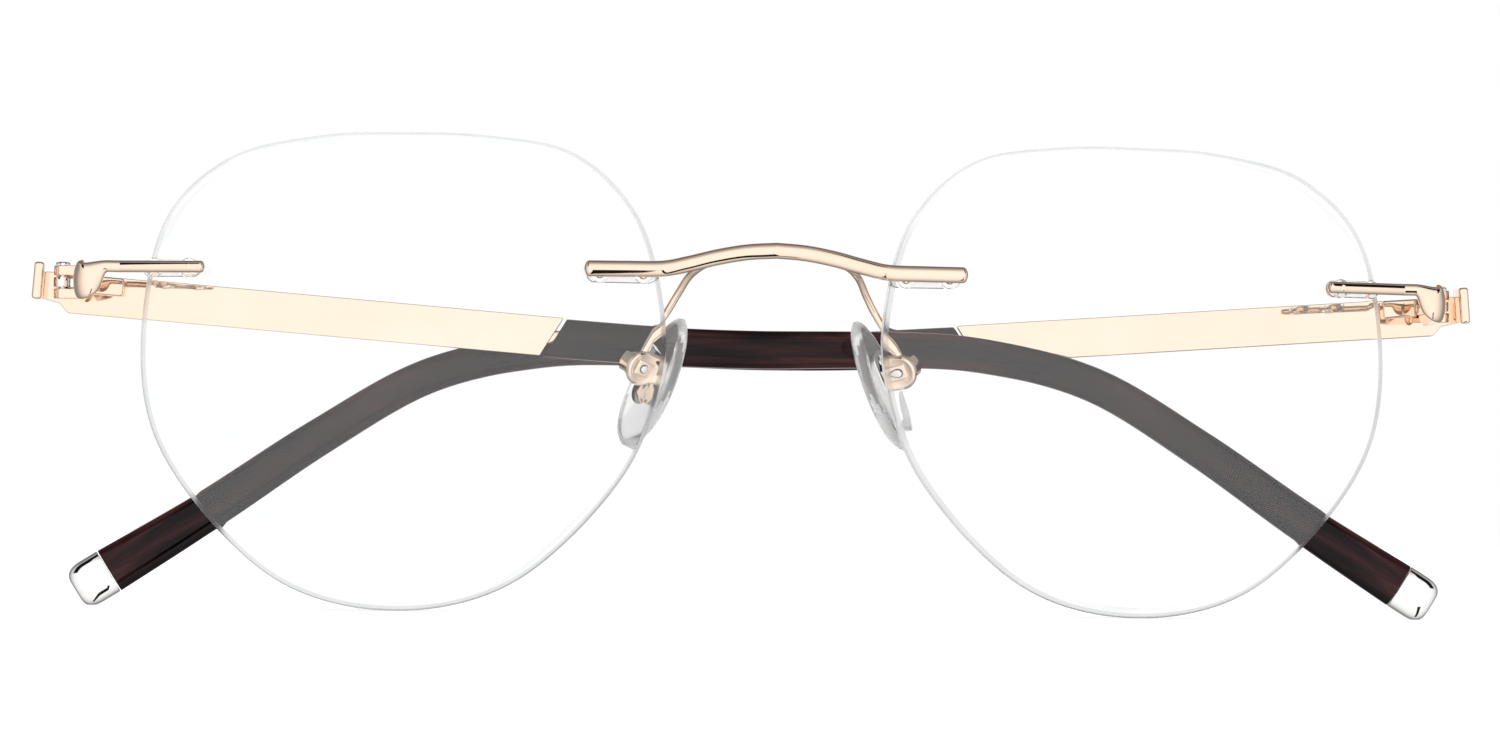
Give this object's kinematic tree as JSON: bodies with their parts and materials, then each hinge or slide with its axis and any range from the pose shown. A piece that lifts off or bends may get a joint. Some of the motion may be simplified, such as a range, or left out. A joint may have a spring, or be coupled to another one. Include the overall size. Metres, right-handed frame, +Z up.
{
  "type": "rimless eyeglasses",
  "caption": "Folding rimless eyeglasses: bare panto lenses, gold bridge and endpieces, spring-hinged temples with dark acetate sleeves, and rocking clear nose pads.",
  "frame": {"origin": "on the ground plane under the middle of the folded glasses' box", "axes": "+X to the wearer's left, +Y from the lenses back towards the face, +Z up the lenses"},
  "size_m": [0.1425, 0.0191, 0.0457],
  "materials": {
    "lens": "polished clear lens with a faint coating",
    "gold": "polished pale rose gold plating",
    "steel": "polished silver",
    "clear_plastic": "clear plastic",
    "silicone": "soft clear silicone",
    "tortoise": "polished dark tortoise acetate"
  },
  "bodies": {
    "front": {"bridge": "gold", "lens_right": "lens", "bridge_sleeve_right": "clear_plastic", "endpiece_sleeve_right": "clear_plastic", "endpiece_right": "gold", "hinge_screw_right": "steel", "pad_arm_right": "gold", "pad_box_right": "gold", "pad_screw_right": "steel", "lens_left": "lens", "bridge_sleeve_left": "clear_plastic", "endpiece_sleeve_left": "clear_plastic", "endpiece_left": "gold", "hinge_screw_left": "steel", "pad_arm_left": "gold", "pad_box_left": "gold", "pad_screw_left": "steel"},
    "slider_right": {"hinge_slider_right": "steel", "hinge_spring_right": "steel"},
    "temple_right": {"spring_box_right": "gold", "temple_plate_right": "gold", "temple_sleeve_right": "tortoise", "tip_cap_right": "steel"},
    "pad_right": {"nose_pad_right": "silicone", "pad_insert_right": "steel"},
    "slider_left": {"hinge_slider_left": "steel", "hinge_spring_left": "steel"},
    "temple_left": {"spring_box_left": "gold", "temple_plate_left": "gold", "temple_sleeve_left": "tortoise", "tip_cap_left": "steel"},
    "pad_left": {"nose_pad_left": "silicone", "pad_insert_left": "steel"}
  },
  "joints": [
    {"name": "temple_fold_right", "type": "hinge", "parent": "front", "child": "slider_right", "pos_m": [-0.0683, 0.004, 0.0313], "axis": [0, 0, 1], "range_deg": [0, 91.2]},
    {"name": "temple_spring_right", "type": "slide", "parent": "slider_right", "child": "temple_right", "axis": [0.997, -0.0209, -0.075], "range_m": [0, 0.0005], "stiffness_N_per_m": 3000},
    {"name": "pad_rock_right", "type": "hinge", "parent": "front", "child": "pad_right", "pos_m": [-0.01289, -0.00358, 0.02373], "axis": [0.4506, -0.8418, -0.2973], "range_deg": [-8, 8]},
    {"name": "temple_fold_left", "type": "hinge", "parent": "front", "child": "slider_left", "pos_m": [0.0683, 0.004, 0.0313], "axis": [0, 0, -1], "range_deg": [0, 88.1]},
    {"name": "temple_spring_left", "type": "slide", "parent": "slider_left", "child": "temple_left", "axis": [-0.9966, 0.0331, -0.075], "range_m": [0, 0.0005], "stiffness_N_per_m": 3000},
    {"name": "pad_rock_left", "type": "hinge", "parent": "front", "child": "pad_left", "pos_m": [0.01289, -0.00358, 0.02373], "axis": [-0.4506, -0.8418, -0.2973], "range_deg": [-8, 8]}
  ]
}
